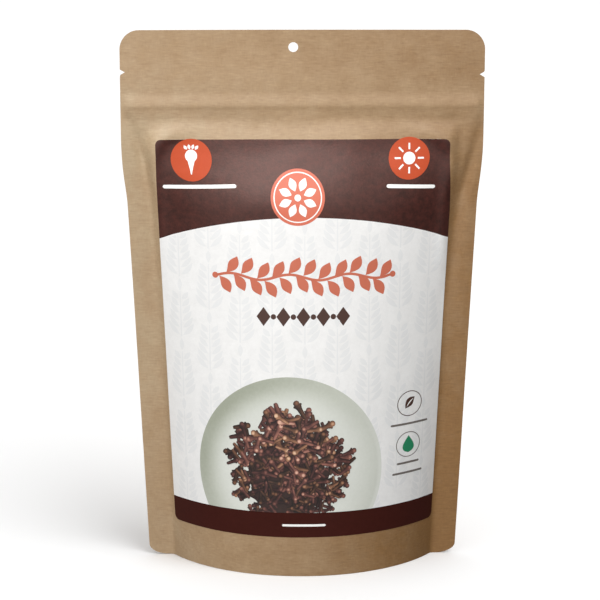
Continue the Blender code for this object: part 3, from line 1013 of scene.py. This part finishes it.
# %% The heap's outline, and a place for each clove
HEAP_S, HEAP_Z = -6.0, 44.0
HEAP_COUNT = 520
HEAP_RADIUS = 23.0
SPARSE_FROM = 0.8
EDGE_FROM = 0.88
EDGE_TURN = 1.15
TOUCHING = 2.7
SHADE_START, SHADE_OVER = HEAP_Z + 4, 22
TAN_SHARE = 0.36
CLOVE_LIFT = 0.22 * MM
LAYER = 0.014 * MM


def heap_reach(angle):
    """The heap's radius in each direction: wide to the sides, lower at the top, full below."""
    upward = np.sin(angle)
    ragged = 0.9 * np.sin(5 * angle + 1) + 0.9 * np.sin(11 * angle)
    return HEAP_RADIUS - 1.2 * upward - 0.7 * np.clip(-upward, 0, 1) + ragged


def heap_places(seed=12):
    """Middle, direction, length, shade, hue and share of the way out for each clove.

    Beyond EDGE_FROM the direction is the outward one, turned by EDGE_TURN at most, and three in
    ten of them point inwards instead. The length is 4.4 mm near the foot, and more higher up.
    """
    draw = np.random.default_rng(seed)
    angle = draw.uniform(0, 2 * math.pi, HEAP_COUNT)
    share = np.sqrt(draw.uniform(0, 1, HEAP_COUNT))
    reach = heap_reach(angle) * share
    middle = np.stack([HEAP_S + reach * np.cos(angle), HEAP_Z + reach * np.sin(angle)], -1)
    turn = draw.uniform(-1, 1, HEAP_COUNT) * np.where(share > EDGE_FROM, EDGE_TURN, math.pi)
    way = angle + turn + np.where((share > 0.86) & (draw.uniform(0, 1, HEAP_COUNT) < 0.3), math.pi, 0)
    length = 4.4 + 0.07 * (middle[:, 1] - 25) + draw.uniform(-0.6, 1.1, HEAP_COUNT)
    return middle, way, length, draw.uniform(-1, 1, HEAP_COUNT), draw.uniform(0, 1, HEAP_COUNT), share


def free_layers(middle, way, length):
    """The lowest layer for each clove that no earlier clove within TOUCHING mm of it has."""
    along = length[:, None] * np.stack([np.cos(way), np.sin(way)], -1)
    spine = middle[:, None] + np.linspace(-0.5, 0.5, 5)[:, None] * along[:, None]
    gap = np.linalg.norm(spine[:, None, :, None] - spine[None, :, None, :], axis=-1).min(axis=(2, 3))
    layers = np.zeros(len(middle), int)
    for k in range(1, len(middle)):
        taken = set(layers[:k][gap[k, :k] < TOUCHING])
        layers[k] = next(n for n in range(len(middle)) if n not in taken)
    return layers


# %% The heap: a dark ground below, and the cloves in layers
HEAP_GROUND = printed("heap_shadow_ink", "33211c", mottle=0.3)
RED_CLOVES = [(0.0, "1b0d0b"), (0.3, "3d221f"), (0.55, "673f38"), (0.8, "9c6757"), (1.0, "dcae97")]
TAN_CLOVES = [(0.0, "1b0f0a"), (0.3, "402a1f"), (0.55, "744e39"), (0.8, "ad7e5f"), (1.0, "e2bb9b")]
CLOVE_INKS = [picture_ink("clove_print_red", RED_CLOVES), picture_ink("clove_print_tan", TAN_CLOVES)]


def make_ground():
    """A dark ground in the heap's outline, two thirds as large and a little lower."""
    t = np.linspace(0, 2 * math.pi, 90, endpoint=False)
    radius = np.linspace(0, 0.66, 8)[:, None] * heap_reach(t)
    ground = (HEAP_S + radius * np.cos(t), HEAP_Z - 5 + radius * np.sin(t), True)
    print_shapes("heap_ground", [ground], HEAP_GROUND, lift=0.195 * MM, keep_z=above_band)


def make_cloves():
    """All the copies at once, fewer of them far out in the heap's upper part.

    A clove's middle plus u times its length along its way and v times its length across it gives
    each point. Its tone is the one clove's, times more in the upper layers, and less low down.
    """
    middle, way, length, shade, hue, share = heap_places()
    fits = (share < SPARSE_FROM) | (hue < 0.55) | (middle[:, 1] < HEAP_Z - 4)
    fits &= middle[:, 1] > LABEL_BAND / MM - 1
    middle, way, length, shade, hue = (each[fits] for each in (middle, way, length, shade, hue))
    layers = free_layers(middle, way, length)
    along = np.stack([np.cos(way), np.sin(way)], -1) * length[:, None]
    aside = np.stack([-np.sin(way), np.cos(way)], -1) * length[:, None]
    side = np.where(np.sin(way + 0.6) > 0, 1.0, -1.0)[:, None, None]
    u, v = CLOVE_UV[:, 0] - 0.5, CLOVE_UV[:, 1]
    at = middle[:, None] + u[:, None] * along[:, None] + side * v[:, None] * aside[:, None]
    depth = layers / layers.max()
    low = np.clip((SHADE_START - middle[:, 1]) / SHADE_OVER, -0.7, 1.0)
    tone = CLOVE_TONE * (0.6 + 0.52 * depth[:, None]) + (0.24 * shade - 0.12 * low)[:, None]
    faces = (CLOVE_FACES + len(CLOVE_UV) * np.arange(len(middle))[:, None, None]).reshape(-1, 4)
    lift = (CLOVE_LIFT + LAYER * layers)[:, None] + 0 * tone
    paint = np.repeat((7 * hue) % 1 < TAN_SHARE, len(CLOVE_FACES)).astype(int)
    s, z = at[..., 0].ravel(), np.maximum(at[..., 1].ravel(), BAND_EDGE)
    faces, kept = face_up(s, z, faces)
    print("heap:", len(middle), "cloves in", layers.max() + 1, "layers")
    new_piece("printed_cloves", stand(s * MM, z * MM, lift=lift.ravel()), faces, CLOVE_INKS,
              values={"tone": tone.ravel()}, paint=paint[kept])


make_ground()
make_cloves()

# %% [markdown]
# ## Small printed signs
#
# The rest of the label's print is plain ornament: a coral medallion with a rosette, a garland
# of leaves, a row of lozenges, two rings with a leaf and a drop, and thin rules. Curves from a
# drawing program could be loaded, but discs, ribbons and leaves are enough for all of them.
# The inks are matte, and nearly flat in colour.

# %% Inks for the small signs
WHITE_INK = printed("white_ink", "f7f6f2", mottle=0.01)
CORAL_INK = printed("coral_ink", "d26b50", mottle=0.02)
TERRACOTTA_INK = printed("terracotta_ink", "c66a50")
DARK_INK = printed("dark_brown_ink", "472a20", mottle=0.04)
GREEN_INK = printed("green_ink", "1f8259")
GREY_INK = printed("grey_ink", "6f6862")

# %% The medallion that straddles the header's border
MEDAL_S, MEDAL_Z, MEDAL_R = -2.0, 148.3, 10.4


def petals(s, z, reach, width, count, start=0.0, inner=0.0):
    """Leaves that point outwards from a ring of radius inner round (s, z)."""
    angles = start + np.arange(count) * 2 * math.pi / count
    return [leaf(s + inner * math.cos(a), z + inner * math.sin(a), a, reach, width) for a in angles]


print_shapes("medallion", [disc(MEDAL_S, MEDAL_Z, MEDAL_R, rings=8, around=96)], CORAL_INK, lift=0.17 * MM)
rosette = [disc(MEDAL_S, MEDAL_Z, 9.3, 8.85, rings=2, around=96), disc(MEDAL_S, MEDAL_Z, 1.25)]
rosette += petals(MEDAL_S, MEDAL_Z, 5.6, 3.0, 8, start=math.pi / 8, inner=2.1)
print_shapes("medallion_rosette", rosette, WHITE_INK, lift=0.21 * MM)

# %% The garland and the row of lozenges
GARLAND_LOW, GARLAND_HIGH, GARLAND_Z = -35.8, 36.7, 118.0
LOZENGE_Z = 102.7


def garland():
    """A stem whose height waves as a sine, leaves to both sides by turns, and a berry at each end."""
    t = np.linspace(0, 1, 120)
    s = GARLAND_LOW + 2 + (GARLAND_HIGH - GARLAND_LOW - 4) * t
    wave = GARLAND_Z + 1.1 * np.sin(6 * math.pi * t)
    shapes = [ribbon(s, wave, 0.5 + 0 * t)]
    for k, share in enumerate(np.linspace(0.01, 0.93, 22)):
        at = int(share * 119)
        hand = 1 if k % 2 else -1
        shapes.append(leaf(s[at], wave[at], hand * 0.95, 8.4, 4.0, curl=hand * 0.5, belly=1.15))
    return shapes + [disc(s[0] - 0.6, wave[0], 1.2, around=20), disc(s[-1] + 0.6, wave[-1], 1.2, around=20)]


def lozenge(s, z, wide, tall):
    """A four-cornered ribbon, widest at its middle."""
    t = np.linspace(0.01, 0.99, 3)
    return ribbon(s + 0 * t, z - tall / 2 + t * tall, wide / 2 * (1 - np.abs(2 * t - 1)))


print_shapes("garland", garland(), TERRACOTTA_INK)
lozenges = [lozenge(s, LOZENGE_Z, 5.4, 7.4) for s in np.linspace(-15.3, 15.5, 5)]
lozenges += [disc(s, LOZENGE_Z, 1.05, around=20) for s in np.linspace(-11.45, 11.65, 4)]
print_shapes("lozenge_row", lozenges, DARK_INK)

# %% The two rings at the right, with their rules
RING_WIDE, RING_TALL, RING_THICK = 5.9, 5.1, 0.36
THIN_RULE, FOOT_RULE, WHITE_RULE = 0.42, 0.45, 0.7


def ring(s, z, wide=RING_WIDE, tall=RING_TALL, thick=RING_THICK):
    """An oval ring: a circle stretched to its half sizes."""
    rim_s, rim_z, wrap = disc(0, 0, 1.0, 1.0 - thick / wide, rings=2, around=64)
    return s + wide * rim_s, z + tall * rim_z, wrap


brown_leaf = leaf(41.9, 63.2, 0.8, 6.6, 3.4, curl=-0.5)
print_shapes("brown_ring", [ring(44.2, 65.5), brown_leaf], DARK_INK)
print_shapes("leaf_vein", [leaf(42.4, 63.8, 0.8, 5.2, 0.5, curl=-0.5)], WHITE_INK, lift=0.19 * MM)
drop = leaf(44.0, 45.2, 1.57, 7.4, 5.6, belly=0.62)
print_shapes("green_drop", [drop], GREEN_INK)
print_shapes("green_ring", [ring(44.0, 49.0)], GREY_INK)
ends_and_height = ((35.5, 53.5, 57.4), (38.6, 49.6, 41.6), (36.6, 51.4, 37.6))
rules = [rule(*each, THIN_RULE) for each in ends_and_height]
print_shapes("caption_rules", rules, GREY_INK)

# %% White rules in the header and the foot
left_rule = rule(-55.0, -25.6, 150.9, WHITE_RULE, tilt=1.3)
right_rule = rule(32.4, 52.0, 151.9, WHITE_RULE, tilt=-1.1)
print_shapes("header_rules", [left_rule, right_rule], WHITE_INK)
print_shapes("foot_rule", [rule(-8.3, 8.7, 20.5, FOOT_RULE)], WHITE_INK)

# %% The signs on the stickers: a clove bud and a sun
SIGN_LIFT = 0.28 * MM
SIGN_RADIUS = 2.35


def clove_sign(s, z):
    """A tapered stem with a round bud on top and a crown of four short sepals over it."""
    t = np.linspace(0.0, 1.0, 9)
    bud = [ribbon(s + 0 * t, z - 5.4 + 5.6 * t, 0.2 + 1.35 * t**1.2), disc(s, z + 1.5, SIGN_RADIUS)]
    sepals = (-1.5, -0.5, 0.5, 1.5)
    return bud + [leaf(s + 0.9 * k, z + 3.6, 1.57 - 0.45 * k, 2.3, 1.2, count=7) for k in sepals]


def sun_sign(s, z):
    """A disc with eight rays."""
    angles = np.arange(8) * math.pi / 4
    t = np.linspace(3.3, 5.7, 5)
    rays = [ribbon(s + t * math.cos(a), z + t * math.sin(a), 0.34 + 0 * t) for a in angles]
    return [disc(s, z, SIGN_RADIUS), *rays]


(left_s, left_z), (right_s, right_z) = ((s / MM, z / MM) for s, z in STICKERS.values())
print_shapes("clove_sign", clove_sign(left_s, left_z), WHITE_INK, lift=SIGN_LIFT)
print_shapes("sun_sign", sun_sign(right_s, right_z), WHITE_INK, lift=SIGN_LIFT)

# %% [markdown]
# ## Camera, floor and light
#
# The photo is taken from a metre away, a little above the pouch, so the base shows its front
# curve and the upper walls lean back from the eye. The camera could be set by eye, but its turn
# and its focal length, in the photo's own pixels, are worked out from where the pouch's corners
# lie in the photo. The floor is a large pale sheet that fills the picture.

# %% Camera
IMAGE_SIZE = 600
FOCAL_PIXELS = 2549.6
SENSOR = 36.0
AZIMUTH, ELEVATION = -0.888, 13.954
AIM = Vector((-0.92 * MM, 0.0, 104.64 * MM))


def direction(azimuth, elevation):
    """The unit vector this many degrees to the right of the front and above the floor."""
    a, e = math.radians(azimuth), math.radians(elevation)
    return Vector((math.sin(a) * math.cos(e), -math.cos(a) * math.cos(e), math.sin(e)))


def set_down(made, at, way):
    """Put a camera or a lamp at this place, looking back along way."""
    made.location = at
    made.rotation_mode = "QUATERNION"
    made.rotation_quaternion = Vector(way).to_track_quat("Z", "Y")


back_way = direction(AZIMUTH, ELEVATION)
camera = add_object("camera", bpy.data.cameras.new("camera"))
camera.data.sensor_width = SENSOR
camera.data.lens = FOCAL_PIXELS / IMAGE_SIZE * SENSOR
set_down(camera, AIM + back_way, back_way)
bpy.context.scene.camera = camera
print("lens", round(camera.data.lens, 1), "mm")

# %% Floor
def make_floor():
    """A square of 12 m, a paper-thin gap below the pouch's foot."""
    mesh = bpy.data.meshes.new("floor")
    corners = [(x, y, -0.1 * MM) for x, y in ((-6, -6), (6, -6), (6, 6), (-6, 6))]
    mesh.from_pydata(corners, [], [(0, 1, 2, 3)])
    mesh.materials.append(new_material("pale_floor", roughness=0.9, specular=0.1, base="f4f4f4")[0])
    floor = add_object("floor", mesh)
    floor.visible_diffuse = floor.visible_glossy = False
    floor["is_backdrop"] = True
    return floor


floor = make_floor()

# %% [markdown]
# The light is set in two groups, with Blender's light linking, because one that makes the floor
# white would wash the pouch out. The lamps on the pouch are a big soft key, high and near, a
# little to the left, so that whatever leans back is lighter and the right side falls off, and a
# box in front of it, whose dim mirror image greys the brown header. A third box behind lights
# the back, which the photo's view doesn't show.
# The floor has two suns of its own. One stands overhead and is so soft that it leaves only a
# faint dark line under the foot. The other lays a soft shadow out to the left. The floor sends
# no light back up: a pale surround does that, a little more from the left than from the right.

# %% Lights
POUCH_MIDDLE = Vector((0.0, 0.0, 0.11))


def hang(name, lamp, at, way, lights_up):
    """A lamp hung at this place, shining back along way, on these objects only."""
    made = add_object(name, lamp)
    set_down(made, at, way)
    receivers = bpy.data.collections.new(name + "_receivers")
    for each in lights_up:
        receivers.objects.link(each)
    made.light_linking.receiver_collection = receivers


def soft_box(name, at, size, strength):
    """A lamp of this width and height for the pouch; strength is what it gives a sheet there.

    A lamp of power P spreads it over pi times its distance squared, so P is strength times pi
    squared times the distance squared.
    """
    way = Vector(at) - POUCH_MIDDLE
    lamp = bpy.data.lights.new(name, "AREA")
    lamp.shape, lamp.size, lamp.size_y = "RECTANGLE", *size
    lamp.energy = strength * math.pi**2 * way.length_squared
    hang(name, lamp, at, way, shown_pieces())


def floor_sun(name, azimuth, elevation, spread, share):
    """A sun for the floor alone, its spread in degrees; share is the light that it gives the floor."""
    way = direction(azimuth, elevation)
    lamp = bpy.data.lights.new(name, "SUN")
    lamp.angle = math.radians(spread)
    lamp.energy = share * math.pi / way.z
    hang(name, lamp, way, way, [floor])


soft_box("key_box", at=(-0.11, -0.36, 0.66), size=(0.45, 0.45), strength=0.78)
soft_box("front_box", at=(-0.16, -1.33, 0.77), size=(2.4, 1.75), strength=0.74)
soft_box("back_box", at=(0.5, 1.3, 0.9), size=(2.4, 1.7), strength=1.0)
floor_sun("floor_top_sun", azimuth=0, elevation=88, spread=90, share=0.53)
floor_sun("floor_side_sun", azimuth=50, elevation=48, spread=50, share=0.42)


def surround(left, right):
    """A pale surround that is dimmer on the right: its strength follows the direction's x."""
    world = bpy.data.worlds.new("surround")
    bpy.context.scene.world = world
    world.use_nodes = True
    tree = world.node_tree
    way = node(tree, "SeparateXYZ", {"Vector": node(tree, "TexCoord").outputs["Generated"]})
    fall = node(tree, "MapRange", {0: way.outputs["X"], 1: -1.0, 2: 1.0, 3: left, 4: right})
    tree.links.new(fall.outputs["Result"], tree.nodes["Background"].inputs["Strength"])
    tree.nodes["Background"].inputs["Color"].default_value = colour("ffffff")


surround(left=0.38, right=0.14)
bpy.context.scene.view_settings.view_transform = "Standard"

# %% [markdown]
# ## Sizes of both boxes
#
# The fine surfaces have to stay in the box of the solids. Both boxes' sizes are printed.

# %% Print the sizes of both boxes
boxes = {"cad": cad_box, "visual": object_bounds()}
for key, (low, high) in boxes.items():
    print(key, [round(v / MM, 2) for v in high - low], "mm")
